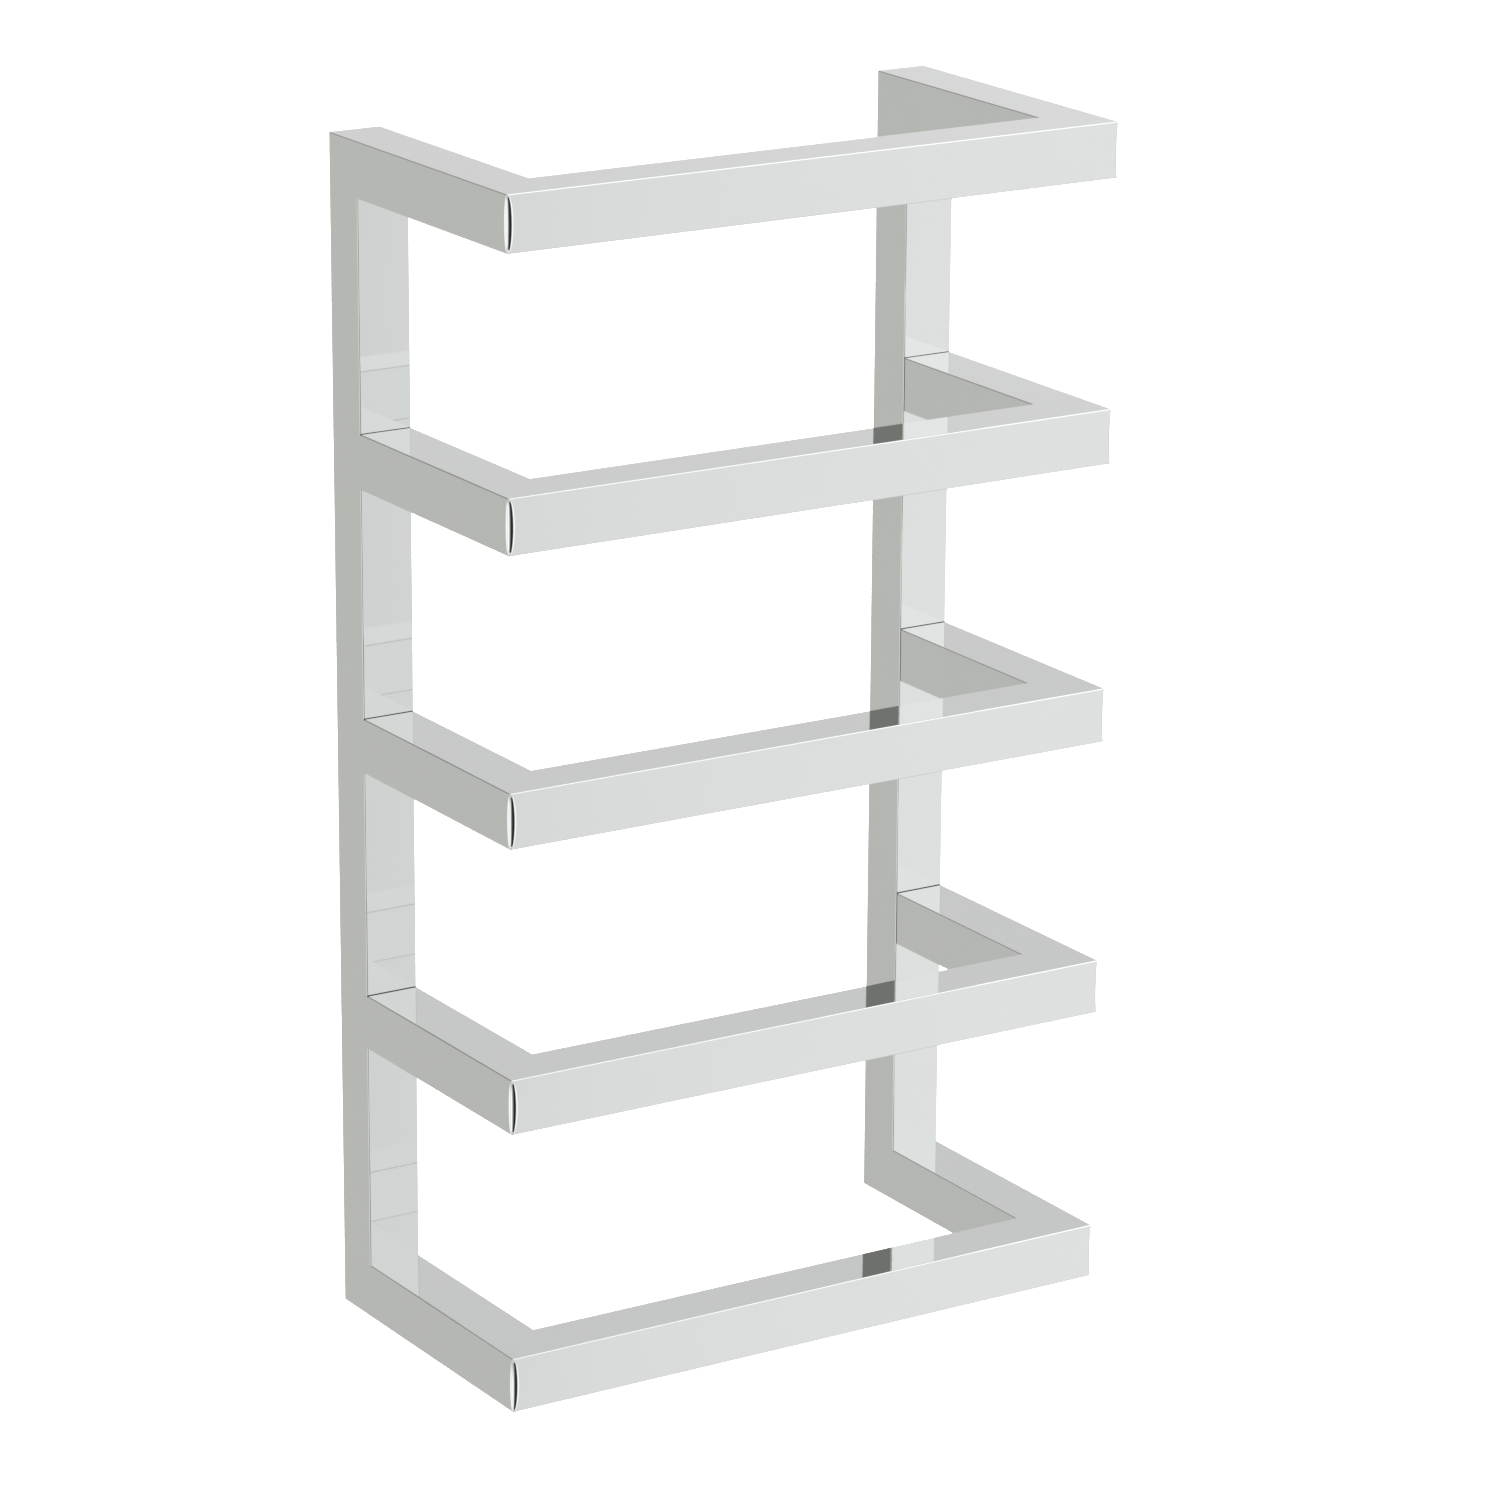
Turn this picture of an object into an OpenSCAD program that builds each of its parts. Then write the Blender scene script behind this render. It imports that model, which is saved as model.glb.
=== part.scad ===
// Wall-hung towel rack of welded square tube: two uprights carry five U-shaped hoops.
// The wall is the plane y = 0 and the rack stands out of it towards -Y. +Z is up, +X is to the right
// for a person who faces the rack. The origin is the centre of the four wall screw holes.

/* [Rack] */
// Overall width, across both side arms
rack_w = 245; // [160:1:600]
// Depth from the wall to the front of the hoops
rack_d = 122; // [80:1:240]
// Overall height, from the underside of the lowest hoop to the top of the highest
rack_h = 430; // [240:1:1200]

/* [Tube] */
// Side of the square tube
tube = 20; // [20:1:30]
// Wall of the square tube
tube_wall = 1.5; // [1:0.1:2]

/* [Wall fixing] */
// Diameter of a wall boss
boss_d = 13.8; // [12:0.1:13.8]
// Length of a wall boss, from the wall into the tube
boss_l = 12; // [11:0.5:14]
// Gap round a boss in the back of its upright
boss_gap = 0.1; // [0.05:0.05:0.3]
// Diameter of the screw hole through a boss
screw_hole_d = 4.5; // [4:0.1:5.5]
// Diameter of the countersink in a boss
countersink_d = 8.8; // [8:0.1:9.5]
// Distance from the wall to the middle of a boss's groove
groove_y = 7; // [6:0.5:7]
// Depth of a boss's groove
groove_depth = 1.2; // [1:0.1:1.5]

/* [Grub screws] */
// Diameter of a grub screw
grub_d = 4; // [3:0.5:4]
// Gap round a grub screw, which stands for the thread's play
grub_gap = 0.05; // [0.02:0.01:0.1]
// How far a grub screw sits below the surface of its tube
grub_recess = 0.2; // [0:0.1:0.5]
// Gap between a grub screw's point and the bottom of the groove
point_gap = 0.1; // [0.05:0.05:0.3]
// Size of a grub screw's hexagon socket, across its flats
socket_af = 2; // [1.5:0.5:2]
// Depth of a grub screw's hexagon socket
socket_depth = 1.5; // [1:0.1:1.5]

/* [Hidden] */

$fn = 64;
// How far a cutting shape runs past the face that it cuts
past = 1;

// Number of hoops, one for each set of three hoop pieces in NODES
hoop_count = 5;
half_w = rack_w / 2;
half_h = rack_h / 2;
// Side of the square hollow inside a tube
inside = tube - 2 * tube_wall;
// Height from one hoop to the next
pitch = (rack_h - tube) / (hoop_count - 1);
// Places of a boss, in the middle of the corner where an upright meets an outer hoop
boss_x = half_w - tube / 2;
boss_z = half_h - tube / 2;
boss_r = boss_d / 2;
groove_r = boss_r - groove_depth;
grub_r = grub_d / 2;

// Height of the middle of hoop number i, counted from 1 at the top
function hoop_z(i) = half_h - tube / 2 - (i - 1) * pitch;

// The first and the last hoop meet the uprights in a mitre, and the others butt against their fronts
function is_outer(i) = i == 1 || i == hoop_count;

// The space inside a tube that runs along Y, centred on the x and z that it is moved to
module bore_along_y() {
    translate([-inside / 2, -rack_d - past, -inside / 2])
        cube([inside, rack_d + 2 * past, inside]);
}

// Front bar of hoop i: a tube along X with its ends mitred to the arms
module front_bar(i) {
    translate([0, 0, hoop_z(i)])
        difference() {
            linear_extrude(height = tube, center = true)
                polygon([
                    [-half_w, -rack_d],
                    [half_w, -rack_d],
                    [half_w - tube, -rack_d + tube],
                    [-half_w + tube, -rack_d + tube]
                ]);
            translate([-half_w - past, -rack_d + tube_wall, -inside / 2])
                cube([rack_w + 2 * past, inside, inside]);
        }
}

// Outline of a left arm seen from above, mitred at the front and square at its rear end
module arm_plan(rear_y) {
    polygon([
        [-half_w, -rack_d],
        [-half_w + tube, -rack_d + tube],
        [-half_w + tube, rear_y],
        [-half_w, rear_y]
    ]);
}

// Everything under the mitre that joins the highest hoop to its upright, turned over for the lowest
module rear_mitre_cut() {
    rotate([90, 0, 90])
        linear_extrude(height = rack_w + 2 * past, center = true)
            polygon([
                [past, tube / 2 + past],
                [-tube - past, -tube / 2 - past],
                [past, -tube / 2 - past]
            ]);
}

// Left arm of hoop i
module left_arm(i) {
    rear_y = is_outer(i) ? 0 : -tube;
    translate([0, 0, hoop_z(i)])
        difference() {
            linear_extrude(height = tube, center = true)
                arm_plan(rear_y);
            translate([-boss_x, 0, 0])
                bore_along_y();
            if (i == 1)
                rear_mitre_cut();
            if (i == hoop_count)
                mirror([0, 0, 1])
                    rear_mitre_cut();
            if (i == hoop_count)
                grub_screw_hole();
        }
}

// Hole through the underside of a left arm for its grub screw, with the arm's middle at z = 0
module grub_screw_hole() {
    translate([-boss_x, -groove_y, -tube])
        cylinder(h = tube, r = grub_r + grub_gap);
}

// Right arm of hoop i, the mirror image of the left one
module right_arm(i) {
    mirror([1, 0, 0])
        left_arm(i);
}

// Left upright: a tube with both ends mitred and a round hole in its back for each boss
module left_upright() {
    color("gainsboro")
        upright();
}

// Right upright, the mirror image of the left one
module right_upright() {
    color("gainsboro")
        mirror([1, 0, 0])
            upright();
}

// An upright where the left one stands
module upright() {
    translate([-boss_x, 0, 0])
        difference() {
            rotate([90, 0, 90])
                linear_extrude(height = tube, center = true)
                    polygon([
                        [0, -half_h],
                        [0, half_h],
                        [-tube, half_h - tube],
                        [-tube, -half_h + tube]
                    ]);
            translate([-inside / 2, -tube + tube_wall, -half_h - past])
                cube([inside, inside, rack_h + 2 * past]);
            for (side = [-1, 1])
                translate([0, past, side * boss_z])
                    rotate([90, 0, 0])
                        cylinder(h = past + tube / 2, r = boss_r + boss_gap);
        }
}

// Wall boss: a turned disc with a countersunk screw hole and a groove round it for a grub screw
module wall_boss(x, z) {
    countersink_l = (countersink_d - screw_hole_d) / 2;
    color("silver")
        translate([x, 0, z])
            rotate([90, 0, 0])
                rotate_extrude()
                    polygon([
                        [screw_hole_d / 2, 0],
                        [boss_r, 0],
                        [boss_r, groove_y - groove_depth],
                        [groove_r, groove_y],
                        [boss_r, groove_y + groove_depth],
                        [boss_r, boss_l],
                        [countersink_d / 2, boss_l],
                        [screw_hole_d / 2, boss_l - countersink_l]
                    ]);
}

// Grub screw with a cone point up and a hexagon socket below, its axis on the z axis
module grub_screw(length) {
    difference() {
        rotate_extrude()
            polygon([
                [0, 0],
                [grub_r, 0],
                [grub_r, length - grub_r],
                [0, length]
            ]);
        translate([0, 0, -past])
            cylinder(h = socket_depth + past, r = socket_af / sqrt(3), $fn = 6);
    }
}

// The two grub screws, in the underside of the lowest hoop's arms under the lower bosses
module grub_screws() {
    foot_z = -half_h + grub_recess;
    point_z = -boss_z - groove_r - point_gap;
    color("dimgray")
        for (side = [-1, 1])
            translate([side * boss_x, -groove_y, foot_z])
                grub_screw(point_z - foot_z);
}

// One tube of hoop i, in the hoops' colour
module hoop_tube(i, piece) {
    color("whitesmoke") {
        if (piece == "front_bar")
            front_bar(i);
        if (piece == "left_arm")
            left_arm(i);
        if (piece == "right_arm")
            right_arm(i);
    }
}

left_upright();
right_upright();
hoop_tube(1, "front_bar");  // hoop_1_front_bar
hoop_tube(1, "left_arm");  // hoop_1_left_arm
hoop_tube(1, "right_arm");  // hoop_1_right_arm
hoop_tube(2, "front_bar");  // hoop_2_front_bar
hoop_tube(2, "left_arm");  // hoop_2_left_arm
hoop_tube(2, "right_arm");  // hoop_2_right_arm
hoop_tube(3, "front_bar");  // hoop_3_front_bar
hoop_tube(3, "left_arm");  // hoop_3_left_arm
hoop_tube(3, "right_arm");  // hoop_3_right_arm
hoop_tube(4, "front_bar");  // hoop_4_front_bar
hoop_tube(4, "left_arm");  // hoop_4_left_arm
hoop_tube(4, "right_arm");  // hoop_4_right_arm
hoop_tube(5, "front_bar");  // hoop_5_front_bar
hoop_tube(5, "left_arm");  // hoop_5_left_arm
hoop_tube(5, "right_arm");  // hoop_5_right_arm
wall_boss(-boss_x, boss_z);  // upper_left_wall_boss
wall_boss(boss_x, boss_z);  // upper_right_wall_boss
wall_boss(-boss_x, -boss_z);  // lower_left_wall_boss
wall_boss(boss_x, -boss_z);  // lower_right_wall_boss
grub_screws();
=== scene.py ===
"""Wall-hung towel rack of mirror-polished square tube, laid out as a Blender add-on.

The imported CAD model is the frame. Each CAD tube is replaced by a finished one: hollow, with softened
edges, ground front corners and tight joints. The wall bosses and the grub screws are finished too.
All sizes are in metres. +Z is up, +X is to the right and the wall is the plane y = 0.
"""

import math

import bmesh
import bpy
from bpy.props import FloatProperty, FloatVectorProperty, IntProperty, PointerProperty
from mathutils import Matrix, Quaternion, Vector


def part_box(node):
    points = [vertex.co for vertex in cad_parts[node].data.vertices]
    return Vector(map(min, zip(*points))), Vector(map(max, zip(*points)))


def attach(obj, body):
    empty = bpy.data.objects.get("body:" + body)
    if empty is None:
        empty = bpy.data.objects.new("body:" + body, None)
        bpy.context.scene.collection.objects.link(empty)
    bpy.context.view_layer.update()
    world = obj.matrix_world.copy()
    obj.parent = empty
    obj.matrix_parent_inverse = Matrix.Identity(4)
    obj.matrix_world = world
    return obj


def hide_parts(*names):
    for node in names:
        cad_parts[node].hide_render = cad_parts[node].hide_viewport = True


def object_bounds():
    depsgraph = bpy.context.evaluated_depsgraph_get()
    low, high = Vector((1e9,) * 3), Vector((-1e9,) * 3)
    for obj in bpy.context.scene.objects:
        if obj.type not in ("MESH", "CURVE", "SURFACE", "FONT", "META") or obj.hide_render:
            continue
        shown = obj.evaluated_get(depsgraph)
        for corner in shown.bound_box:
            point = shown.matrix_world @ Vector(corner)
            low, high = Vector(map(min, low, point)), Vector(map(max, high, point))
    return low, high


bl_info = {
    "name": "Towel Rack",
    "version": (1, 0, 0),
    "blender": (4, 5, 0),
    "location": "View3D > Sidebar > Towel Rack",
    "description": "Builds a towel rack of polished square tube round its CAD frame",
    "category": "Object",
}

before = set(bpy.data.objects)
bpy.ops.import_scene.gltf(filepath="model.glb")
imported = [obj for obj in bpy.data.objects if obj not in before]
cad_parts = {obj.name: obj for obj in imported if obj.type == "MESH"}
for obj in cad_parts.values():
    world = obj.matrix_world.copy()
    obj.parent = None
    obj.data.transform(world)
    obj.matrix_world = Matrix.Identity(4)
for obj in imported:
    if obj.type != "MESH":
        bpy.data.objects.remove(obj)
cad_low, cad_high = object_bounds()

BODY = "root"
HOOPS = range(1, 6)
OUTER_HOOPS = (HOOPS[0], HOOPS[-1])
INNER_HOOPS = HOOPS[1:-1]
BOSSES = [
    f"{height}_{side}_wall_boss"
    for height in ("upper", "lower")
    for side in ("left", "right")
]
X, Y, Z = range(3)
# Two places closer than this are the same place
SAME = 2e-6
# Two directions are the same where the cosine between them is above this
ALIGNED = 0.999
# Faces that meet at less than this shade as one
SMOOTH_BELOW = math.radians(32)

# Sides of a wall boss and of a grub screw
BOSS_SIDES = 64
GRUB_SIDES = 48
# Nearly all values of a noise texture lie between these
NOISE_LOW = 0.3
NOISE_HIGH = 0.7
# Inputs and output of a Mix node that mixes colours
MIX_SHARE = 0
MIX_FIRST = 6
MIX_SECOND = 7
MIX_RESULT = 2

screws_low, screws_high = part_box("grub_screws")


def to_linear(hex_colour):
    """Linear red, green and blue of an sRGB hex colour such as "D9DBDA"."""
    parts = [int(hex_colour[i : i + 2], 16) / 255 for i in (0, 2, 4)]
    return [c / 12.92 if c <= 0.04045 else ((c + 0.055) / 1.055) ** 2.4 for c in parts]


class TowelRackSizes(bpy.types.PropertyGroup):
    """Sizes of the finished pieces that the CAD model leaves plain."""

    wall: FloatProperty(
        name="Tube wall",
        description="Thickness of the tube's wall",
        default=0.0015,
        unit="LENGTH",
    )
    edge: FloatProperty(
        name="Edge radius",
        description="Radius of the tubes' polished edges",
        default=0.0004,
        unit="LENGTH",
    )
    edge_steps: IntProperty(
        name="Edge steps",
        description="Strips round a quarter turn of an edge, an even number",
        default=8,
        min=2,
    )
    left_corner: FloatProperty(
        name="Left corner radius",
        description="Radius that a hoop's left front corner is ground to at its middle height",
        default=0.0026,
        unit="LENGTH",
    )
    right_corner: FloatProperty(
        name="Right corner radius",
        description="Radius that a hoop's right front corner is ground to at its middle height",
        default=0.0015,
        unit="LENGTH",
    )
    # This dull line is painted shade: the crevice where an arm meets its upright, coloured near black
    seam: FloatProperty(
        name="Seam",
        description="Width of the dull line where an arm meets the front of its upright",
        default=0.0006,
        unit="LENGTH",
    )
    corner_levels: IntProperty(
        name="Corner levels",
        description="Cuts over the height of a hoop's ground front corner, an odd number",
        default=31,
        min=3,
    )
    screw_hole: FloatProperty(
        name="Screw hole",
        description="Diameter of the screw hole through a wall boss",
        default=0.0045,
        unit="LENGTH",
    )
    countersink: FloatProperty(
        name="Countersink",
        description="Diameter of the countersink in a wall boss",
        default=0.0088,
        unit="LENGTH",
    )
    groove_y: FloatProperty(
        name="Groove place",
        description="Distance from the wall to the middle of a wall boss's groove",
        default=0.007,
        unit="LENGTH",
    )
    groove_depth: FloatProperty(
        name="Groove depth",
        description="Depth of the groove round a wall boss",
        default=0.0012,
        unit="LENGTH",
    )
    boss_gap: FloatProperty(
        name="Boss gap",
        description="Gap round a wall boss in the back of its upright",
        default=0.0001,
        unit="LENGTH",
    )
    grub_gap: FloatProperty(
        name="Grub screw gap",
        description="Gap round a grub screw in its hole",
        default=0.00005,
        unit="LENGTH",
    )
    rim: FloatProperty(
        name="Boss rim",
        description="Width of the broken edge round each end of a wall boss",
        default=0.0003,
        unit="LENGTH",
    )
    thread_pitch: FloatProperty(
        name="Thread pitch",
        description="Distance from one thread of a grub screw to the next",
        default=0.0007,
        unit="LENGTH",
    )
    thread_depth: FloatProperty(
        name="Thread depth",
        description="Depth of a grub screw's thread",
        default=0.0003,
        unit="LENGTH",
    )
    socket: FloatProperty(
        name="Socket",
        description="Size of a grub screw's hexagon socket across its flats",
        default=0.002,
        unit="LENGTH",
    )
    socket_depth: FloatProperty(
        name="Socket depth",
        description="Depth of a grub screw's hexagon socket",
        default=0.0015,
        unit="LENGTH",
    )


def colour_property(name, description, value):
    """A colour property whose default is an sRGB hex colour."""
    return FloatVectorProperty(
        name=name,
        description=description,
        default=to_linear(value),
        subtype="COLOR",
        min=0,
        max=1,
    )


class TowelRackColours(bpy.types.PropertyGroup):
    """Colours of the finishes and of the studio."""

    chrome: colour_property("Chrome", "Colour of the polished chrome", "D9DBDA")
    # The seam colour is painted shade: near black for the crevice where an arm meets its upright
    seam: colour_property("Seam", "Colour of the dull metal in a seam", "35342F")
    turned_steel: colour_property("Turned steel", "Colour of the wall bosses", "CDCBC6")
    screw_steel: colour_property("Screw steel", "Colour of the grub screws", "8F8E8C")
    floor: colour_property("Floor", "Colour of the studio floor", "F4F4F3")
    grey_wall: colour_property("Grey wall", "Tint of the tent's grey side", "FFFFF9")


class TowelRackStudio(bpy.types.PropertyGroup):
    """Places of the camera and of the floor."""

    azimuth: FloatProperty(
        name="Camera azimuth",
        description="Side that the camera looks from, with 0 in front and negative to the left",
        default=math.radians(-32.3),
        subtype="ANGLE",
    )
    elevation: FloatProperty(
        name="Camera elevation",
        description="Angle of the camera above the horizon",
        default=math.radians(17.0),
        subtype="ANGLE",
    )
    roll: FloatProperty(
        name="Camera roll",
        description="Turn of the camera about its own axis",
        default=math.radians(0.4),
        subtype="ANGLE",
    )
    distance: FloatProperty(
        name="Camera distance",
        description="Distance from the camera to the point that it aims at",
        default=2.16,
        unit="LENGTH",
    )
    lens: FloatProperty(
        name="Lens",
        description="Focal length in millimetres",
        default=146,
        unit="CAMERA",
    )
    floor_drop: FloatProperty(
        name="Floor drop",
        description="Distance from the bottom of the rack down to the floor",
        default=1.0,
        unit="LENGTH",
    )


def sizes():
    return bpy.context.scene.towel_rack_sizes


def colours():
    return bpy.context.scene.towel_rack_colours


# ---------------------------------------------------------------- modelling by hand


def deselect():
    """Leaves nothing selected, so that the next operator touches only its own piece."""
    bpy.ops.object.select_all(action="DESELECT")


def freeze():
    """Puts the active object's place, turn and size into its mesh."""
    bpy.ops.object.transform_apply(location=True, rotation=True, scale=True)


def add_block(name, low, high):
    """Adds a cube between two corners and opens it for editing."""
    deselect()
    low, high = Vector(low), Vector(high)
    bpy.ops.mesh.primitive_cube_add(size=1, location=(low + high) / 2, scale=high - low)
    piece = bpy.context.object
    piece.name = piece.data.name = name
    freeze()
    bpy.ops.object.mode_set(mode="EDIT")
    return piece


def pick(kind, test):
    """Selects the vertices, edges or faces that pass the test, in edit mode."""
    bpy.ops.mesh.select_mode(type=kind)
    bpy.ops.mesh.select_all(action="DESELECT")
    mesh = bpy.context.edit_object.data
    editing = bmesh.from_edit_mesh(mesh)
    for item in {"VERT": editing.verts, "EDGE": editing.edges, "FACE": editing.faces}[kind]:
        if test(item):
            item.select_set(True)
    editing.select_flush_mode()
    bmesh.update_edit_mesh(mesh)


def pick_all():
    bpy.ops.mesh.select_mode(type="VERT")
    bpy.ops.mesh.select_all(action="SELECT")


def near(a, b):
    return abs(a - b) < SAME


def runs_along(edge, axis):
    """Whether an edge is parallel to an axis."""
    step = edge.verts[1].co - edge.verts[0].co
    return all(near(step[i], 0) for i in range(3) if i != axis)


def cut(at, towards):
    """Cuts the whole piece at a plane, drops the side its normal points to and closes the cut."""
    pick_all()
    bpy.ops.mesh.bisect(
        plane_co=at,
        plane_no=towards,
        use_fill=True,
        clear_outer=True,
        threshold=SAME,
    )


def slice_at(z):
    """Cuts the whole piece at a height and keeps both sides."""
    pick_all()
    bpy.ops.mesh.bisect(plane_co=(0, 0, z), plane_no=(0, 0, 1), threshold=SAME)


def close_piece():
    """Leaves edit mode with merged points, outward faces and smooth shading on the rounded edges."""
    pick_all()
    bpy.ops.mesh.remove_doubles(threshold=SAME)
    bpy.ops.mesh.normals_make_consistent(inside=False)
    bpy.ops.object.mode_set(mode="OBJECT")
    bpy.ops.object.shade_smooth_by_angle(angle=SMOOTH_BELOW)


def select_only(piece):
    """Makes a piece the only selected one and the active one."""
    deselect()
    piece.select_set(True)
    bpy.context.view_layer.objects.active = piece


def keep_flats_flat(piece):
    """Gives the flats their own normals, so that only the rounded edges shade as curved."""
    select_only(piece)
    weighting = piece.modifiers.new("Flats", "WEIGHTED_NORMAL")
    weighting.mode = "FACE_AREA"
    weighting.weight = 100
    weighting.keep_sharp = True
    bpy.ops.object.modifier_apply(modifier=weighting.name)


def drill(piece, cutter):
    """Takes a cutter's shape out of a piece and removes the cutter."""
    select_only(piece)
    drilling = piece.modifiers.new("Drill", "BOOLEAN")
    drilling.operation = "DIFFERENCE"
    drilling.solver = "EXACT"
    drilling.object = cutter
    bpy.ops.object.modifier_apply(modifier=drilling.name)
    bpy.data.objects.remove(cutter)


def add_rod(name, radius, start, end, sides=BOSS_SIDES):
    """Adds a straight round bar from one point to another, along Y or Z."""
    deselect()
    start, end = Vector(start), Vector(end)
    along = end - start
    turn = (math.radians(90), 0, 0) if abs(along.y) > abs(along.z) else (0, 0, 0)
    bpy.ops.mesh.primitive_cylinder_add(
        vertices=sides,
        radius=radius,
        depth=along.length,
        location=(start + end) / 2,
        rotation=turn,
    )
    rod = bpy.context.object
    rod.name = rod.data.name = name
    freeze()
    return rod


def copy_at(original, offset):
    """A copy of a piece with its own mesh, moved by an offset."""
    select_only(original)
    bpy.ops.object.duplicate(linked=False)
    piece = bpy.context.object
    piece.location = offset
    freeze()
    return piece


def finish_piece(piece, name, node):
    """Names a piece and gives it its place in the frame."""
    piece.name = piece.data.name = name
    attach(piece, BODY)
    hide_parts(node)


def finish_row(first, nodes, ending):
    """Copies a piece from its own node, the first, to the others, and finishes them all."""
    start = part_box(nodes[0])[0]
    row = [first] + [copy_at(first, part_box(node)[0] - start) for node in nodes[1:]]
    for piece, node in zip(row, nodes):
        finish_piece(piece, f"{node}_{ending}", node)


# ---------------------------------------------------------------- the tubes


def soften_edges(is_kept_square=lambda point: False):
    """Rounds the edges of the block that is being edited, but not those to be kept square."""
    pick("EDGE", lambda edge: not is_kept_square((edge.verts[0].co + edge.verts[1].co) / 2))
    bpy.ops.mesh.bevel(
        offset=sizes().edge,
        offset_type="OFFSET",
        segments=sizes().edge_steps,
        profile=0.5,
        affect="EDGES",
    )


def hollow(along):
    """Opens the block from end to end, which leaves the tube's wall."""
    pick("FACE", lambda face: abs(face.normal[along]) > ALIGNED)
    bpy.ops.mesh.inset(thickness=sizes().wall - sizes().edge)
    bpy.ops.mesh.bridge_edge_loops()


def grind_corner(x, y, low, high):
    """Grinds the softened corner edge at x, y to a lens shape, widest at middle height."""
    size = sizes()
    least = size.edge
    most = size.left_corner if x < 0 else size.right_corner
    middle = (low.z + high.z) / 2
    half = (high.z - low.z) / 2 - least

    def is_at_corner(point):
        return abs(point.x - x) < least + SAME and abs(point.y - y) < least + SAME

    def is_upright(edge):
        return runs_along(edge, Z) and edge.calc_length() > half and is_at_corner(edge.verts[0].co)

    pick("EDGE", is_upright)
    bpy.ops.mesh.subdivide(number_cuts=size.corner_levels)
    steps = size.corner_levels + 1
    for step in range(1, steps):
        share = 2 * step / steps - 1
        z = middle + share * half
        pick("VERT", lambda v: near(v.co.z, z) and is_at_corner(v.co))
        radius = least + (most - least) * math.sqrt(1 - share**2)
        scale = radius / least
        bpy.ops.transform.resize(value=(scale, scale, 1), center_override=(x, y, z))


def mitre_front(x, y, keep):
    """Cuts a bar or an arm at 45 degrees through its hoop's front corner."""
    inward = 1 if x < 0 else -1
    away = Vector((inward, -1, 0)) if keep == "arm" else Vector((-inward, 1, 0))
    cut((x, y, 0), away)


def mitre_rear(hoop, keep):
    """Cuts an arm or an upright at 45 degrees where an outer hoop meets its upright."""
    up = 1 if hoop == HOOPS[0] else -1
    corner = (0, cad_high.y, cad_high.z if up > 0 else cad_low.z)
    away = Vector((0, 1, -up)) if keep == "arm" else Vector((0, -1, up))
    cut(corner, away)


def outer_face(side, low, high):
    """The x of the outer face of a piece on the left or the right side of the rack."""
    return low.x if side == "left" else high.x


def front_bars():
    """Front bars of the hoops: a hollow tube along X, mitred at both ends, and its copies."""
    nodes = [f"hoop_{hoop}_front_bar" for hoop in HOOPS]
    low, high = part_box(nodes[0])
    bar = add_block("front_bar", low, high)
    soften_edges()
    hollow(X)
    for x in (low.x, high.x):
        grind_corner(x, low.y, low, high)
    for x in (low.x, high.x):
        mitre_front(x, low.y, "bar")
    close_piece()
    keep_flats_flat(bar)
    bar.data.materials.append(chrome(X))
    finish_row(bar, nodes, "tube")


def drill_grub_hole(arm, x, low):
    """Drills the hole for a grub screw through the underside of one of the lowest arms."""
    radius = (screws_high.y - screws_low.y) / 2
    at_x = math.copysign((screws_high.x - screws_low.x) / 2 - radius, x)
    at_y = (screws_low.y + screws_high.y) / 2
    past = sizes().wall
    foot, head = (at_x, at_y, low.z - past), (at_x, at_y, low.z + 2 * past)
    hole = add_rod("grub_screw_hole", radius + sizes().grub_gap, foot, head, sides=GRUB_SIDES)
    drill(arm, hole)


def outer_arm(hoop, side):
    """Side arm of the highest or the lowest hoop, mitred at the front and at the rear."""
    node = f"hoop_{hoop}_{side}_arm"
    low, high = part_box(node)
    outer_x = outer_face(side, low, high)
    arm = add_block(node, low, high)
    soften_edges()
    hollow(Y)
    grind_corner(outer_x, low.y, low, high)
    mitre_front(outer_x, low.y, "arm")
    mitre_rear(hoop, "arm")
    close_piece()
    if hoop == HOOPS[-1]:
        drill_grub_hole(arm, outer_x, low)
    keep_flats_flat(arm)
    arm.data.materials.append(chrome(Y))
    finish_piece(arm, f"{node}_tube", node)


def thicken_flush_wall(x, y):
    """Moves the bore in beside a square edge, since its wall was measured from a softened edge."""
    size = sizes()
    inward = 1 if x < 0 else -1
    bore_x = x + inward * (size.wall - size.edge)
    pick("VERT", lambda v: near(v.co.x, bore_x) and near(v.co.y, y))
    bpy.ops.transform.translate(value=(inward * size.edge, 0, 0))


def inner_arms(side, seam):
    """Side arms of the hoops between: mitred in front, butted at the rear and flush outside."""
    nodes = [f"hoop_{hoop}_{side}_arm" for hoop in INNER_HOOPS]
    low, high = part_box(nodes[0])
    outer_x = outer_face(side, low, high)
    arm = add_block("inner_arm", low, high)
    soften_edges(lambda point: near(point.x, outer_x) and near(point.y, high.y))
    hollow(Y)
    thicken_flush_wall(outer_x, high.y)
    grind_corner(outer_x, low.y, low, high)
    mitre_front(outer_x, low.y, "arm")
    # The strip next to the upright gets the near-black seam material, which is painted shade in the
    # crevice
    seam_y = high.y - sizes().seam
    pick("FACE", lambda face: not near(face.calc_center_median().x, outer_x))
    bpy.ops.mesh.bisect(plane_co=(0, seam_y, 0), plane_no=(0, 1, 0), threshold=SAME)
    close_piece()
    keep_flats_flat(arm)
    arm.data.materials.append(chrome(Y))
    arm.data.materials.append(seam)
    for face in arm.data.polygons:
        if face.center.y > seam_y and not near(face.center.x, outer_x):
            face.material_index = 1
    finish_row(arm, nodes, "tube")


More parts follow.
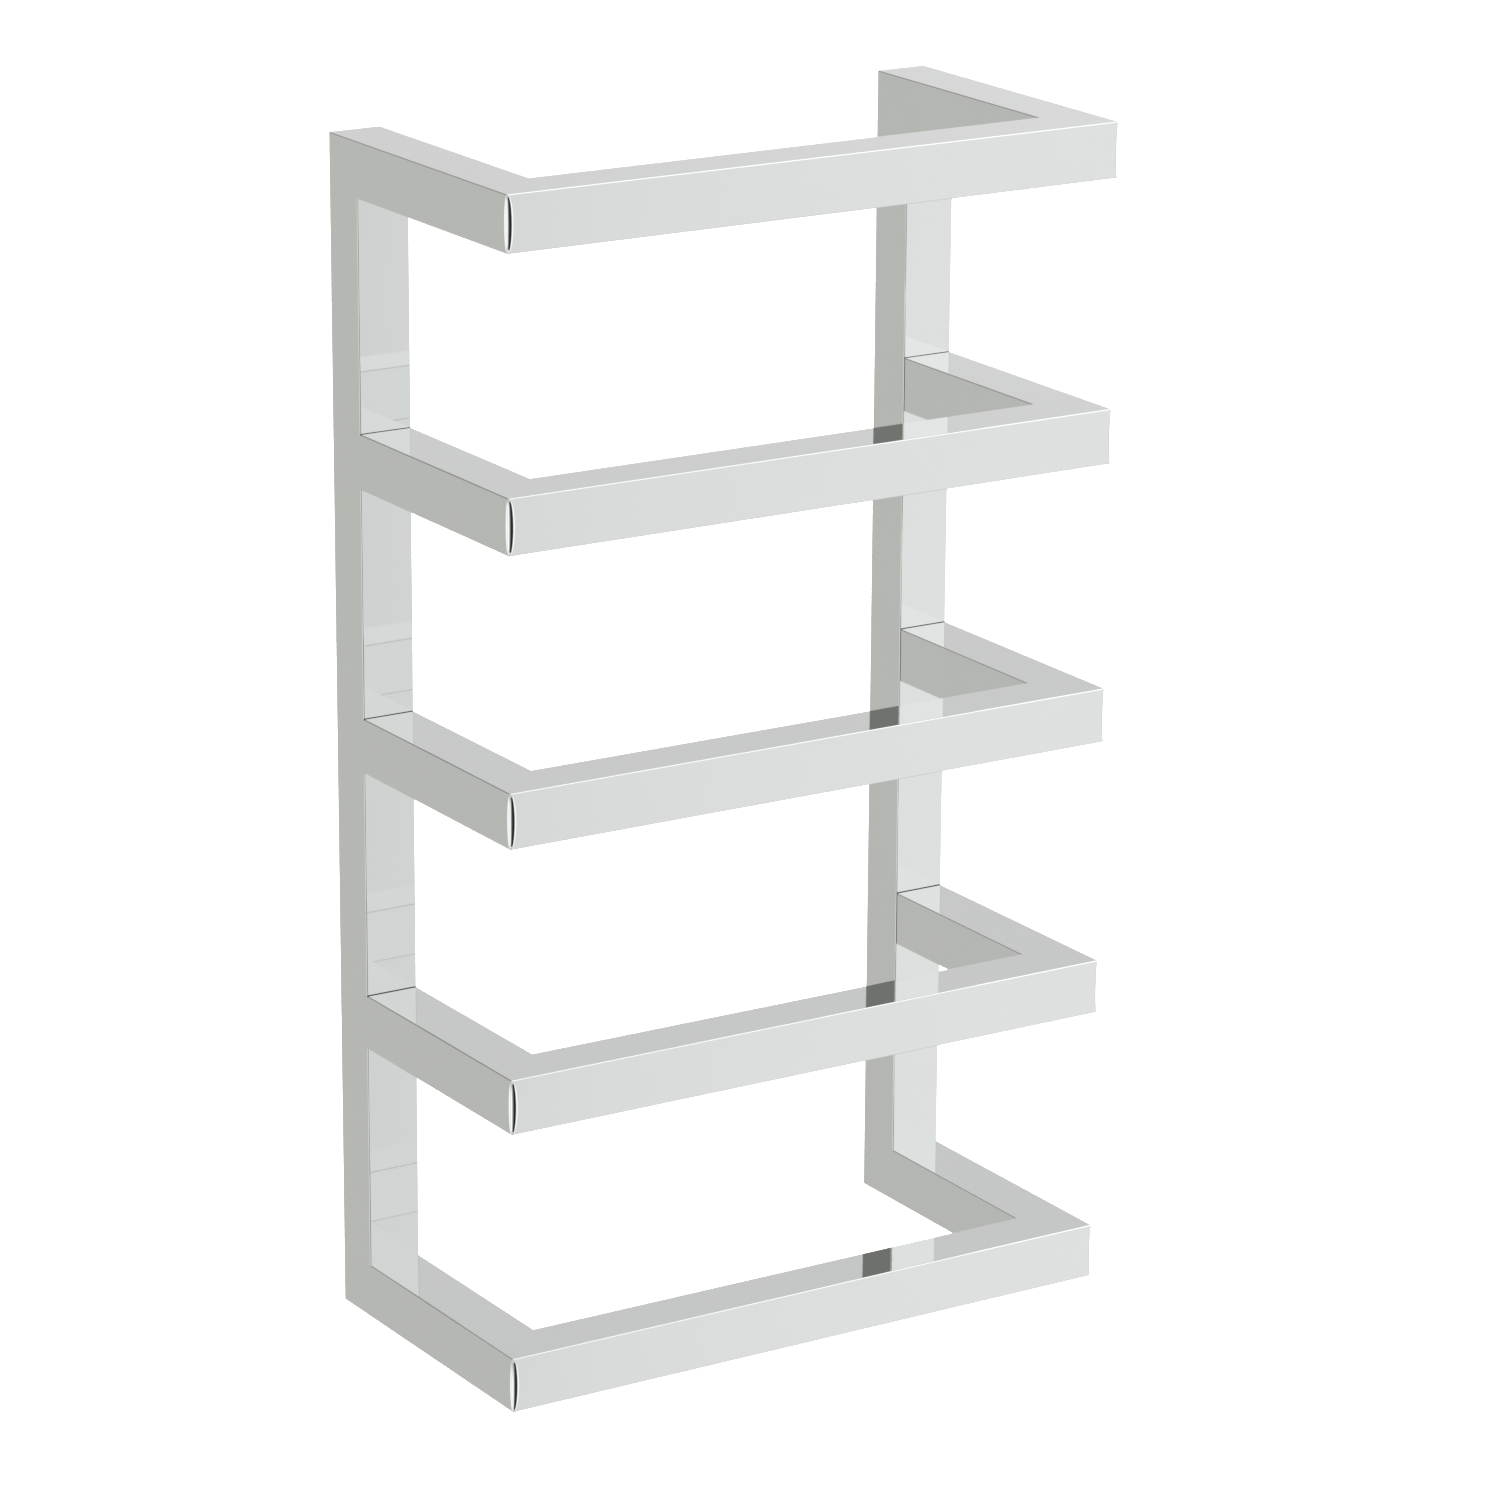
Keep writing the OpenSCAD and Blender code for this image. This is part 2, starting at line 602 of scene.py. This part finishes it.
def sharpen_behind_arm(x, y, hoop, side):
    """Leaves an upright's outer front edge square behind an arm, where the two are ground flush."""
    arm_low, arm_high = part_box(f"hoop_{hoop}_{side}_arm")
    # The edge turns from round to square within this height
    step = SAME * 10
    # At this share of their distance the edge's points merge into one
    shrunk = 0.001
    for z in (arm_low.z, arm_low.z + step, arm_high.z - step, arm_high.z):
        slice_at(z)

    def is_in_edge(vertex):
        reach = sizes().edge + SAME
        return abs(vertex.co.x - x) < reach and abs(vertex.co.y - y) < reach

    for z in (arm_low.z + step, arm_high.z - step):
        pick("VERT", lambda v: near(v.co.z, z) and is_in_edge(v))
        bpy.ops.transform.resize(value=(shrunk, shrunk, 1), center_override=(x, y, z))
        bpy.ops.mesh.remove_doubles(threshold=SAME)


def upright(side):
    """An upright: a hollow tube mitred at both ends, with a round hole in its back for each boss."""
    node = f"{side}_upright"
    low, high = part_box(node)
    outer_x = outer_face(side, low, high)
    tube = add_block(node, low, high)
    soften_edges()
    hollow(Z)
    for hoop in INNER_HOOPS:
        sharpen_behind_arm(outer_x, low.y, hoop, side)
    for hoop in OUTER_HOOPS:
        mitre_rear(hoop, "upright")
    close_piece()
    past = sizes().wall
    for boss in BOSSES:
        if side in boss:
            boss_low, boss_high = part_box(boss)
            middle, radius = (boss_low + boss_high) / 2, (boss_high.x - boss_low.x) / 2
            start = (middle.x, high.y + past, middle.z)
            end = (middle.x, high.y - 2 * past, middle.z)
            drill(tube, add_rod("boss_hole", radius + sizes().boss_gap, start, end))
    keep_flats_flat(tube)
    tube.data.materials.append(chrome(Z))
    finish_piece(tube, f"{node}_tube", node)


# ---------------------------------------------------------------- the small parts


def wall_bosses():
    """Wall bosses: a turned disc with a countersunk hole, a groove and bevelled rims, and copies."""
    size = sizes()
    low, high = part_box(BOSSES[0])
    middle, radius = (low + high) / 2, (high.x - low.x) / 2
    boss = add_rod("wall_boss", radius, (middle.x, high.y, middle.z), (middle.x, low.y, middle.z))
    bpy.ops.object.mode_set(mode="EDIT")

    def from_axis(point):
        return math.hypot(point.x - middle.x, point.z - middle.z)

    def is_end(face, y):
        return abs(face.normal.y) > ALIGNED and near(face.calc_center_median().y, y)

    def is_hole(face):
        is_small = all(from_axis(v.co) < size.screw_hole / 2 + SAME for v in face.verts)
        return is_small and abs(face.normal.y) > ALIGNED

    def is_rim(edge):
        return all(near(from_axis(v.co), radius) for v in edge.verts) and not runs_along(edge, Y)

    pick("FACE", lambda face: is_end(face, high.y))
    bpy.ops.mesh.inset(thickness=radius - size.screw_hole / 2)
    pick("FACE", lambda face: is_end(face, low.y))
    bpy.ops.mesh.inset(thickness=radius - size.countersink / 2)
    sink = (size.countersink - size.screw_hole) / 2
    bpy.ops.mesh.inset(thickness=sink, depth=-sink)

    pick("FACE", is_hole)
    bpy.ops.mesh.bridge_edge_loops()
    pick("EDGE", is_rim)
    bpy.ops.mesh.bevel(offset=size.rim, segments=2, affect="EDGES")

    groove = high.y - size.groove_y
    for y in (groove - size.groove_depth, groove, groove + size.groove_depth):
        pick("FACE", lambda face: from_axis(face.calc_center_median()) > radius - size.rim)
        bpy.ops.mesh.bisect(plane_co=(0, y, 0), plane_no=(0, 1, 0), threshold=SAME)
    pick("VERT", lambda v: near(v.co.y, groove) and from_axis(v.co) > radius / 2)
    scale = 1 - size.groove_depth / radius
    bpy.ops.transform.resize(value=(scale, 1, scale), center_override=(middle.x, groove, middle.z))
    close_piece()
    keep_flats_flat(boss)
    boss.data.materials.append(turned_steel())
    finish_row(boss, BOSSES, "turned")


def grub_screw(radius, x, y):
    """One grub screw: threaded, with a cone point up and a hexagon socket below."""
    size = sizes()
    shoulder = screws_high.z - radius
    start, end = (x, y, screws_low.z), (x, y, screws_high.z)
    screw = add_rod("grub_screw", radius, start, end, sides=GRUB_SIDES)
    bpy.ops.object.mode_set(mode="EDIT")
    turns = int((shoulder - screws_low.z) / size.thread_pitch)
    lowest = shoulder - turns * size.thread_pitch
    crests = [lowest + i * size.thread_pitch for i in range(turns + 1)]
    roots = [z + size.thread_pitch / 2 for z in crests[:-1]]
    for z in sorted(crests + roots):
        slice_at(z)
    scale = 1 - size.thread_depth / radius
    for z in roots:
        pick("VERT", lambda v: near(v.co.z, z))
        bpy.ops.transform.resize(value=(scale, scale, 1), center_override=(x, y, z))
    pick("VERT", lambda v: near(v.co.z, screws_high.z))
    bpy.ops.mesh.merge(type="CENTER")
    close_piece()
    foot = (x, y, screws_low.z - size.socket_depth)
    bottom = (x, y, screws_low.z + size.socket_depth)
    drill(screw, add_rod("socket", size.socket / math.sqrt(3), foot, bottom, sides=6))
    return screw


def grub_screw_pair():
    """The two grub screws, the right one a copy of the left one, joined as one piece."""
    radius = (screws_high.y - screws_low.y) / 2
    left = grub_screw(radius, screws_low.x + radius, screws_low.y + radius)
    right = copy_at(left, (screws_high.x - screws_low.x - 2 * radius, 0, 0))
    select_only(left)
    right.select_set(True)
    bpy.ops.object.join()
    left.data.materials.append(screw_steel())
    finish_piece(left, "grub_screw_pair", "grub_screws")


# ---------------------------------------------------------------- materials


def add(tree, kind, inputs=None, **settings):
    """Adds a node with its settings, and sets or links its inputs."""
    made = tree.nodes.new(kind)
    for name, value in settings.items():
        setattr(made, name, value)
    for name, value in (inputs or {}).items():
        if isinstance(value, bpy.types.NodeSocket):
            tree.links.new(value, made.inputs[name])
        else:
            made.inputs[name].default_value = value
    return made


def new_material(name):
    """A material and its empty node tree."""
    material = bpy.data.materials.new(name)
    material.use_nodes = True
    material.node_tree.nodes.clear()
    return material, material.node_tree


def finish_metal(material, tint, grain, roughness, relief, depth):
    """Gives a metal its colour, a roughness that follows the grain, and a relief of some depth."""
    tree = material.node_tree
    sheen = add(
        tree,
        "ShaderNodeMapRange",
        {
            "Value": grain,
            "From Min": NOISE_LOW,
            "From Max": NOISE_HIGH,
            "To Min": roughness[0],
            "To Max": roughness[1],
        },
    )
    bumps = add(tree, "ShaderNodeBump", {"Height": relief, "Distance": depth})
    shader = add(
        tree,
        "ShaderNodeBsdfPrincipled",
        {
            "Base Color": tint,
            "Metallic": 1.0,
            "Roughness": sheen.outputs["Result"],
            "Normal": bumps.outputs["Normal"],
        },
    )
    add(tree, "ShaderNodeOutputMaterial", {"Surface": shader.outputs["BSDF"]})


def chrome(axis):
    """Chrome plate over ground steel tube, buffed along an axis.

    It gives the eye a near mirror. Buffing leaves hairlines too fine to see one by one, which show
    as a faint change of sheen, and a slow ripple bends the reflections a little.
    """
    name = "polished_chrome_along_" + "xyz"[axis]
    if name in bpy.data.materials:
        return bpy.data.materials[name]
    material, tree = new_material(name)
    place = add(tree, "ShaderNodeTexCoord")
    # Hairlines are 0.04 mm apart and are drawn ten times as coarse, and they are 60 mm long
    hairline_gap = 0.0004
    hairline_length = 0.06
    stretch = [1 / hairline_gap] * 3
    stretch[axis] = 1 / hairline_length
    drawn = add(
        tree,
        "ShaderNodeMapping",
        {"Vector": place.outputs["Object"], "Scale": stretch},
    )
    hairlines = add(
        tree,
        "ShaderNodeTexNoise",
        {"Vector": drawn.outputs["Vector"], "Scale": 1.0, "Detail": 2.0, "Roughness": 0.6},
    )
    # The ripple that the buffing wheel leaves is 30 mm from crest to crest and 4 micrometres high
    ripple_gap = 0.03
    ripple_height = 0.000004
    ripple = add(
        tree,
        "ShaderNodeTexNoise",
        {
            "Vector": place.outputs["Object"],
            "Scale": 1 / ripple_gap,
            "Detail": 1.0,
            "Roughness": 0.4,
        },
    )
    # Across the ripple the plate changes from its full colour to a trace darker
    darker = 0.985
    plate = add(
        tree,
        "ShaderNodeMix",
        {
            MIX_SHARE: ripple.outputs["Fac"],
            MIX_FIRST: [*colours().chrome, 1],
            MIX_SECOND: [c * darker for c in colours().chrome] + [1],
        },
        data_type="RGBA",
    )
    finish_metal(
        material,
        tint=plate.outputs[MIX_RESULT],
        grain=hairlines.outputs["Fac"],
        roughness=(0.015, 0.04),
        relief=ripple.outputs["Fac"],
        depth=ripple_height,
    )
    return material


def dull_weld_painted_shade():
    """Steel weld in an inside corner that the buffing wheel can't reach: dull and uneven, and coloured
    near black as painted shade for that crevice.
    """
    material, tree = new_material("dull_weld_painted_shade")
    place = add(tree, "ShaderNodeTexCoord")
    # The weld's ripples are 0.8 mm apart and 0.02 mm high
    ripple_gap = 0.0008
    ripple_height = 0.00002
    ripples = add(
        tree,
        "ShaderNodeTexNoise",
        {"Vector": place.outputs["Object"], "Scale": 1 / ripple_gap, "Detail": 2.0},
    )
    finish_metal(
        material,
        # The near-black tint is painted crevice shade, not the weld's own colour; the dull roughness
        # and ripples are the metal's own
        tint=[*colours().seam, 1],
        grain=ripples.outputs["Fac"],
        roughness=(0.35, 0.6),
        relief=ripples.outputs["Fac"],
        depth=ripple_height,
    )
    return material


def turned_steel():
    """Stainless steel turned on a lathe: fine rings round each boss's axis spread the light."""
    material, tree = new_material("turned_stainless_steel")
    low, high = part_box(BOSSES[-1])
    axis = (low + high) / 2
    place = add(tree, "ShaderNodeTexCoord")
    # The four bosses are folded onto one, and the rings run round its axis
    folded = add(
        tree,
        "ShaderNodeVectorMath",
        {0: place.outputs["Object"]},
        operation="ABSOLUTE",
    )
    centred = add(
        tree,
        "ShaderNodeVectorMath",
        {0: folded.outputs["Vector"], 1: (abs(axis.x), 0, abs(axis.z))},
        operation="SUBTRACT",
    )
    flat = add(
        tree,
        "ShaderNodeVectorMath",
        {0: centred.outputs["Vector"], 1: (1, 0, 1)},
        operation="MULTIPLY",
    )
    distance = add(tree, "ShaderNodeVectorMath", {0: flat.outputs["Vector"]}, operation="LENGTH")
    # The lathe tool's rings are 0.12 mm apart and about 4 micrometres high
    ring_gap = 0.00012
    ring_height = 0.0000036
    rings = add(
        tree,
        "ShaderNodeMath",
        {0: distance.outputs["Value"], 1: 2 * math.pi / ring_gap},
        operation="MULTIPLY",
    )
    wave = add(tree, "ShaderNodeMath", {0: rings.outputs["Value"]}, operation="SINE")
    # The steel's own grain is 1.5 mm across
    grain_width = 0.0015
    grain = add(
        tree,
        "ShaderNodeTexNoise",
        {"Vector": place.outputs["Object"], "Scale": 1 / grain_width, "Detail": 3.0},
    )
    finish_metal(
        material,
        tint=[*colours().turned_steel, 1],
        grain=grain.outputs["Fac"],
        roughness=(0.24, 0.38),
        relief=wave.outputs["Value"],
        depth=ring_height,
    )
    return material


def screw_steel():
    """Plain stainless steel of a set screw, rolled and tumbled: grey, with a soft uneven sheen."""
    material, tree = new_material("tumbled_stainless_steel")
    place = add(tree, "ShaderNodeTexCoord")
    # Tumbling leaves dents 0.5 mm across and 0.01 mm deep
    dent_width = 0.0005
    dent_depth = 0.00001
    dents = add(
        tree,
        "ShaderNodeTexNoise",
        {"Vector": place.outputs["Object"], "Scale": 1 / dent_width, "Detail": 3.0},
    )
    finish_metal(
        material,
        tint=[*colours().screw_steel, 1],
        grain=dents.outputs["Fac"],
        roughness=(0.28, 0.5),
        relief=dents.outputs["Fac"],
        depth=dent_depth,
    )
    return material


def floor_paint():
    """Matt white painted studio floor: an even, soft white with a trace of roller texture."""
    material, tree = new_material("matt_white_paint")
    place = add(tree, "ShaderNodeTexCoord")
    # The roller's texture is 4 mm from crest to crest and 0.02 mm high
    crest_gap = 0.004
    crest_height = 0.00002
    roller = add(
        tree,
        "ShaderNodeTexNoise",
        {"Vector": place.outputs["Object"], "Scale": 1 / crest_gap, "Detail": 2.0},
    )
    bumps = add(
        tree,
        "ShaderNodeBump",
        {"Height": roller.outputs["Fac"], "Distance": crest_height},
    )
    shader = add(
        tree,
        "ShaderNodeBsdfPrincipled",
        {
            "Base Color": [*colours().floor, 1],
            "Roughness": 0.9,
            "Normal": bumps.outputs["Normal"],
        },
    )
    add(tree, "ShaderNodeOutputMaterial", {"Surface": shader.outputs["BSDF"]})
    return material


# ---------------------------------------------------------------- the studio

# Brightness of the light tent round the rack, by azimuth in degrees, below and above eye level.
# 0 is in front of the rack and 90 is to its right. Below eye level the tent is brightest in front of
# the left, and above eye level it is darkest behind the left.
TENT_BELOW = (
    (-180, 0.75),
    (-165, 0.68),
    (-154, 0.66),
    (-130, 0.66),
    (-124, 0.95),
    (-118, 1.40),
    (-98, 1.40),
    (-95, 1.00),
    (-85, 1.00),
    (-82, 1.45),
    (-4, 1.40),
    (-3, 0.95),
    (4, 0.95),
    (6, 1.40),
    (24, 1.40),
    (27, 0.88),
    (28.8, 0.90),
    (30, 0.99),
    (33, 1.045),
    (36, 1.07),
    (45, 1.05),
    (60, 0.98),
    (90, 0.90),
    (120, 0.90),
    (138, 0.95),
    (143, 1.34),
    (156, 1.34),
    (162, 0.85),
    (180, 0.75),
)
TENT_ABOVE = (
    (-180, 0.72),
    (-172, 0.50),
    (-166, 0.31),
    (-142, 0.31),
    (-137, 0.65),
    (-120, 0.90),
    (-84, 0.95),
    (-70, 1.05),
    (-4, 1.05),
    (-3, 0.95),
    (4, 0.95),
    (6, 1.05),
    (24, 1.24),
    (31, 1.30),
    (34, 1.45),
    (38, 1.45),
    (42, 1.00),
    (60, 0.95),
    (90, 0.90),
    (138, 0.92),
    (144, 0.87),
    (147, 0.83),
    (150, 0.80),
    (152, 0.78),
    (180, 0.72),
)
# Cards hung in the tent: azimuths and elevations from and to, brightness, and the edges' softness, with
# all angles in degrees. They are a grey card high behind the right, the roof, the ground, the key light
# over the right front and, in three steps, the dark side by the camera.
CARDS = (
    ((141, 156, 14, 42), 0.775, 1.0),
    ((-200, 200, 42, 100), 1.05, 4.0),
    ((-200, 200, -100, -29), 0.80, 3.0),
    ((40, 100, 30, 62), 1.8, 2.0),
    ((-67, -3.5, -42, 8), 0.40, 0.4),
    ((-67, -50, -42, 8), 0.10, 0.4),
    ((-40, -3.5, -42, 8), 0.03, 0.4),
)
# The brightness that white stands for in the tent's colours
BRIGHTEST = 3.0
# Brightness of the plain white that the camera sees behind the rack
BACKDROP = 1.05
# Elevations in degrees between which the sides change from their lower to their upper brightness
EYE_LEVEL = (-2.0, 4.0)
# The grey wall's tint reaches from azimuth -180 to this one
TINTED_UP_TO = -140
# The floor and the lamp above it, in metres and watts
FLOOR_RADIUS = 30
FLOOR_SIDES = 96
LAMP_WIDTH = 12
LAMP_HEIGHT = 6
LAMP_WATTS = 1500
# The point that the camera aims at, close to the middle of the rack
AIM = Vector((0.007, -0.068, -0.009))
# Width of the camera's sensor in millimetres, and how far the camera sees
SENSOR = 36
FAR = 200


def ring(tree, share, stops):
    """The tent's brightness all round at one height, from its stops."""
    ramp = add(tree, "ShaderNodeValToRGB", {"Fac": share})
    marks = ramp.color_ramp.elements
    marks.remove(marks[1])
    for index, (angle, brightness) in enumerate(stops):
        position = (angle + 180) / 360
        mark = marks[0] if index == 0 else marks.new(position)
        mark.position = position
        tint = colours().grey_wall if angle < TINTED_UP_TO else (1, 1, 1)
        mark.color = [c * brightness / BRIGHTEST for c in tint] + [1]
    return ramp.outputs["Color"]


def window(tree, value, low, high, soft):
    """1 between two values and 0 outside them, with soft flanks."""
    rise = add(
        tree,
        "ShaderNodeMapRange",
        {"Value": value, "From Min": low - soft, "From Max": low + soft},
        interpolation_type="SMOOTHSTEP",
    )
    fall = add(
        tree,
        "ShaderNodeMapRange",
        {
            "Value": value,
            "From Min": high - soft,
            "From Max": high + soft,
            "To Min": 1.0,
            "To Max": 0.0,
        },
        interpolation_type="SMOOTHSTEP",
    )
    both = add(
        tree,
        "ShaderNodeMath",
        {0: rise.outputs["Result"], 1: fall.outputs["Result"]},
        operation="MULTIPLY",
    )
    return both.outputs["Value"]


def card(tree, under, azimuth, elevation, area, brightness, soft):
    """Lays a card of one brightness over the tent, with its upper and lower edge twice as soft."""
    left, right, bottom, top = area
    wide = window(tree, azimuth, left, right, soft)
    tall = window(tree, elevation, bottom, top, soft * 2)
    inside = add(tree, "ShaderNodeMath", {0: wide, 1: tall}, operation="MULTIPLY")
    laid = add(
        tree,
        "ShaderNodeMix",
        {
            MIX_SHARE: inside.outputs["Value"],
            MIX_FIRST: under,
            MIX_SECOND: [brightness / BRIGHTEST] * 3 + [1],
        },
        data_type="RGBA",
    )
    return laid.outputs[MIX_RESULT]


def light_tent():
    """The world: a tent of bright, grey and dark sides, which the camera sees as plain white."""
    world = bpy.data.worlds.new("light_tent")
    bpy.context.scene.world = world
    world.use_nodes = True
    tree = world.node_tree
    tree.nodes.clear()
    place = add(tree, "ShaderNodeTexCoord")
    parts = add(tree, "ShaderNodeSeparateXYZ", {"Vector": place.outputs["Generated"]})
    front = add(tree, "ShaderNodeMath", {0: parts.outputs["Y"], 1: -1.0}, operation="MULTIPLY")
    turn = add(
        tree,
        "ShaderNodeMath",
        {0: parts.outputs["X"], 1: front.outputs["Value"]},
        operation="ARCTAN2",
    )
    rise = add(tree, "ShaderNodeMath", {0: parts.outputs["Z"]}, operation="ARCSINE")
    in_degrees = [
        add(tree, "ShaderNodeMath", {0: angle.outputs["Value"]}, operation="DEGREES")
        for angle in (turn, rise)
    ]
    azimuth, elevation = [angle.outputs["Value"] for angle in in_degrees]
    share = add(
        tree,
        "ShaderNodeMapRange",
        {"Value": azimuth, "From Min": -180.0, "From Max": 180.0},
    )
    is_above = add(
        tree,
        "ShaderNodeMapRange",
        {"Value": elevation, "From Min": EYE_LEVEL[0], "From Max": EYE_LEVEL[1]},
    )
    tent = add(
        tree,
        "ShaderNodeMix",
        {
            MIX_SHARE: is_above.outputs["Result"],
            MIX_FIRST: ring(tree, share.outputs["Result"], TENT_BELOW),
            MIX_SECOND: ring(tree, share.outputs["Result"], TENT_ABOVE),
        },
        data_type="RGBA",
    )
    light = tent.outputs[MIX_RESULT]
    for area, brightness, soft in CARDS:
        light = card(tree, light, azimuth, elevation, area, brightness, soft)
    lit = add(tree, "ShaderNodeBackground", {"Color": light, "Strength": BRIGHTEST})
    white = add(tree, "ShaderNodeBackground", {"Color": (1, 1, 1, 1), "Strength": BACKDROP})
    path = add(tree, "ShaderNodeLightPath")
    seen = add(
        tree,
        "ShaderNodeMixShader",
        {
            0: path.outputs["Is Camera Ray"],
            1: lit.outputs["Background"],
            2: white.outputs["Background"],
        },
    )
    add(tree, "ShaderNodeOutputWorld", {"Surface": seen.outputs["Shader"]})


def floor():
    """A wide pale floor below the rack, which the rack doesn't mirror."""
    deselect()
    height = cad_low.z - bpy.context.scene.towel_rack_studio.floor_drop
    bpy.ops.mesh.primitive_circle_add(
        vertices=FLOOR_SIDES,
        radius=FLOOR_RADIUS,
        fill_type="NGON",
        location=(0, 0, height),
    )
    made = bpy.context.object
    made.name = made.data.name = "studio_floor"
    freeze()
    made.data.materials.append(floor_paint())
    made.visible_glossy = False


def top_light():
    """A large soft lamp overhead, which lights the floor evenly."""
    lamp = bpy.data.lights.new("top_light", "AREA")
    lamp.shape = "DISK"
    lamp.size = LAMP_WIDTH
    lamp.energy = LAMP_WATTS
    made = bpy.data.objects.new("top_light", lamp)
    bpy.context.scene.collection.objects.link(made)
    made.location = (0, 0, LAMP_HEIGHT)
    made.visible_glossy = False
    made.visible_camera = False


def camera():
    """The camera, in front of the rack's left side and a little above it."""
    studio = bpy.context.scene.towel_rack_studio
    back = Vector(
        (
            math.sin(studio.azimuth) * math.cos(studio.elevation),
            -math.cos(studio.azimuth) * math.cos(studio.elevation),
            math.sin(studio.elevation),
        )
    )
    lens = bpy.data.cameras.new("camera")
    lens.lens = studio.lens
    lens.sensor_width = SENSOR
    lens.clip_end = FAR
    made = bpy.data.objects.new("camera", lens)
    bpy.context.scene.collection.objects.link(made)
    made.location = AIM + back * studio.distance
    facing = (-back).to_track_quat("-Z", "Y") @ Quaternion((0, 0, 1), studio.roll)
    made.rotation_euler = facing.to_euler()
    bpy.context.scene.camera = made


# ---------------------------------------------------------------- operators and panel


class TOWELRACK_OT_uprights(bpy.types.Operator):
    """Build the two uprights that stand against the wall"""

    bl_idname = "towel_rack.uprights"
    bl_label = "Uprights"

    def execute(self, context):
        for side in ("left", "right"):
            upright(side)
        return {"FINISHED"}


class TOWELRACK_OT_front_bars(bpy.types.Operator):
    """Build the front bar of each hoop"""

    bl_idname = "towel_rack.front_bars"
    bl_label = "Front bars"

    def execute(self, context):
        front_bars()
        return {"FINISHED"}


class TOWELRACK_OT_side_arms(bpy.types.Operator):
    """Build the two side arms of each hoop"""

    bl_idname = "towel_rack.side_arms"
    bl_label = "Side arms"

    def execute(self, context):
        seam = dull_weld_painted_shade()
        for side in ("left", "right"):
            for hoop in OUTER_HOOPS:
                outer_arm(hoop, side)
            inner_arms(side, seam)
        return {"FINISHED"}


class TOWELRACK_OT_wall_bosses(bpy.types.Operator):
    """Build the four turned bosses that hold the rack to the wall"""

    bl_idname = "towel_rack.wall_bosses"
    bl_label = "Wall bosses"

    def execute(self, context):
        wall_bosses()
        return {"FINISHED"}


class TOWELRACK_OT_grub_screws(bpy.types.Operator):
    """Build the two grub screws that lock the rack on its lower bosses"""

    bl_idname = "towel_rack.grub_screws"
    bl_label = "Grub screws"

    def execute(self, context):
        grub_screw_pair()
        return {"FINISHED"}


class TOWELRACK_OT_studio(bpy.types.Operator):
    """Build the floor, the light tent, the lamp and the camera"""

    bl_idname = "towel_rack.studio"
    bl_label = "Studio"

    def execute(self, context):
        light_tent()
        floor()
        top_light()
        camera()
        context.scene.view_settings.view_transform = "Standard"
        return {"FINISHED"}


class TOWELRACK_PT_panel(bpy.types.Panel):
    """The rack's operators, sizes, colours and studio in the sidebar"""

    bl_idname = "TOWELRACK_PT_panel"
    bl_label = "Towel Rack"
    bl_space_type = "VIEW_3D"
    bl_region_type = "UI"
    bl_category = "Towel Rack"

    def draw(self, context):
        scene = context.scene
        for operator in OPERATORS:
            self.layout.operator(operator.bl_idname)
        for group in (scene.towel_rack_sizes, scene.towel_rack_colours, scene.towel_rack_studio):
            box = self.layout.box()
            for name in group.bl_rna.properties.keys():
                if name not in ("rna_type", "name"):
                    box.prop(group, name)


OPERATORS = (
    TOWELRACK_OT_uprights,
    TOWELRACK_OT_front_bars,
    TOWELRACK_OT_side_arms,
    TOWELRACK_OT_wall_bosses,
    TOWELRACK_OT_grub_screws,
    TOWELRACK_OT_studio,
)
GROUPS = {
    "towel_rack_sizes": TowelRackSizes,
    "towel_rack_colours": TowelRackColours,
    "towel_rack_studio": TowelRackStudio,
}
CLASSES = (*GROUPS.values(), *OPERATORS, TOWELRACK_PT_panel)


def register():
    for each in CLASSES:
        bpy.utils.register_class(each)
    for name, group in GROUPS.items():
        setattr(bpy.types.Scene, name, PointerProperty(type=group))


def unregister():
    for name in GROUPS:
        delattr(bpy.types.Scene, name)
    for each in reversed(CLASSES):
        bpy.utils.unregister_class(each)


def main():
    register()
    bpy.ops.towel_rack.uprights()
    bpy.ops.towel_rack.front_bars()
    bpy.ops.towel_rack.side_arms()
    bpy.ops.towel_rack.wall_bosses()
    bpy.ops.towel_rack.grub_screws()
    bpy.ops.towel_rack.studio()


if __name__ == "__main__":
    main()
